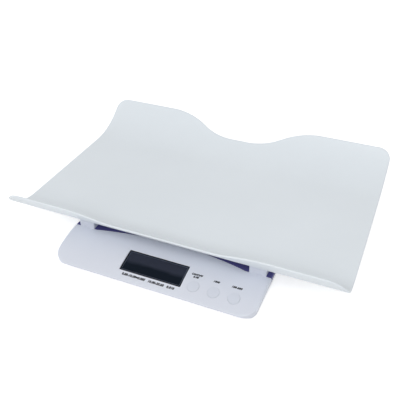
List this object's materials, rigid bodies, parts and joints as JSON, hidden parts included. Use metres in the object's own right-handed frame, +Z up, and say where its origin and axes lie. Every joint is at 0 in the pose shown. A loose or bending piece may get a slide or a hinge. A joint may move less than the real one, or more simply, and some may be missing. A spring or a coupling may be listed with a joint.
{
  "type": "digital baby weighing scale",
  "caption": "Flat digital baby scale: curved lift-off cradle tray on runners, weighing platform over a load cell, low base with display and push keys.",
  "frame": {"origin": "middle of the footprint, on the surface that the rubber feet stand on", "axes": "+X to the right of someone reading the display, along the tray's length; +Y towards the tray's high back wall; +Z up"},
  "size_m": [0.55, 0.4173, 0.0788],
  "materials": {
    "tray_plastic": "satin white moulding",
    "runner_plastic": "satin white moulding",
    "housing_plastic": "satin white moulding",
    "lid_plastic": "fine-textured violet moulding",
    "key_plastic": "satin, slightly greyer than the panel",
    "door_plastic": "satin white moulding",
    "window_acrylic": "smoked gloss acrylic",
    "lcd_glass": "dark liquid crystal cell",
    "strip_rubber": "layered conductive rubber",
    "board_laminate": "green solder mask",
    "chip_resin": "moulded black resin",
    "switch_plastic": "black moulding",
    "plunger_plastic": "red moulding",
    "feet_rubber": "matt soft rubber",
    "screw_steel": "zinc plated",
    "plate_steel": "zinc plated sheet",
    "contact_steel": "nickel plated spring steel",
    "cell_aluminium": "milled",
    "gauge_potting": "white silicone potting",
    "battery_wrap": "printed sleeve, bare of print",
    "lead_sleeve": "grey PVC sleeve",
    "socket_nylon": "natural nylon"
  },
  "bodies": {
    "base": {"base_shell": "housing_plastic", "control_panel": "housing_plastic", "panel_screws": "screw_steel", "display_window": "window_acrylic", "lcd_module": "lcd_glass", "contact_strips": "strip_rubber", "circuit_board": "board_laminate", "controller_chip": "chip_resin", "board_screws": "screw_steel", "key_switches": "switch_plastic", "load_cell": "cell_aluminium", "gauge_covers": "gauge_potting", "cell_lower_spacer": "plate_steel", "cell_lower_bolts": "screw_steel", "batteries": "battery_wrap", "battery_plates": "contact_steel", "battery_springs": "contact_steel", "rubber_feet": "feet_rubber", "cell_lead": "lead_sleeve", "battery_lead": "lead_sleeve", "lead_sockets": "socket_nylon"},
    "platform": {"platform_lid": "lid_plastic", "platform_spider": "plate_steel", "lid_screws": "screw_steel", "cell_upper_spacer": "plate_steel", "cell_upper_bolts": "screw_steel"},
    "tray": {"tray_shell": "tray_plastic", "tray_runner_left": "runner_plastic", "tray_runner_right": "runner_plastic", "tray_screws": "screw_steel"},
    "battery_door": {"battery_door": "door_plastic"},
    "tare_button": {"tare_key": "key_plastic", "tare_plunger": "plunger_plastic"},
    "unit_button": {"unit_key": "key_plastic", "unit_plunger": "plunger_plastic"},
    "hold_button": {"hold_key": "key_plastic", "hold_plunger": "plunger_plastic"}
  },
  "joints": [
    {"name": "platform_travel", "type": "slide", "parent": "base", "child": "platform", "axis": [0, 0, -1], "range_m": [0, 0.0005], "stiffness_N_per_m": 400000, "deforming": ["load_cell"]},
    {"name": "tray_lift", "type": "slide", "parent": "platform", "child": "tray", "axis": [0, 0, 1], "range_m": [0, 0.08]},
    {"name": "battery_door_hinge", "type": "hinge", "parent": "base", "child": "battery_door", "pos_m": [0, 0.04486, 0.003], "axis": [-1, 0, 0], "range_deg": [0, 80]},
    {"name": "tare_press", "type": "slide", "parent": "base", "child": "tare_button", "axis": [0, 0.2211, -0.9752], "range_m": [0, 0.0006], "stiffness_N_per_m": 2500},
    {"name": "unit_press", "type": "slide", "parent": "base", "child": "unit_button", "axis": [0, 0.2211, -0.9752], "range_m": [0, 0.0006], "stiffness_N_per_m": 2500},
    {"name": "hold_press", "type": "slide", "parent": "base", "child": "hold_button", "axis": [0, 0.2211, -0.9752], "range_m": [0, 0.0006], "stiffness_N_per_m": 2500}
  ]
}
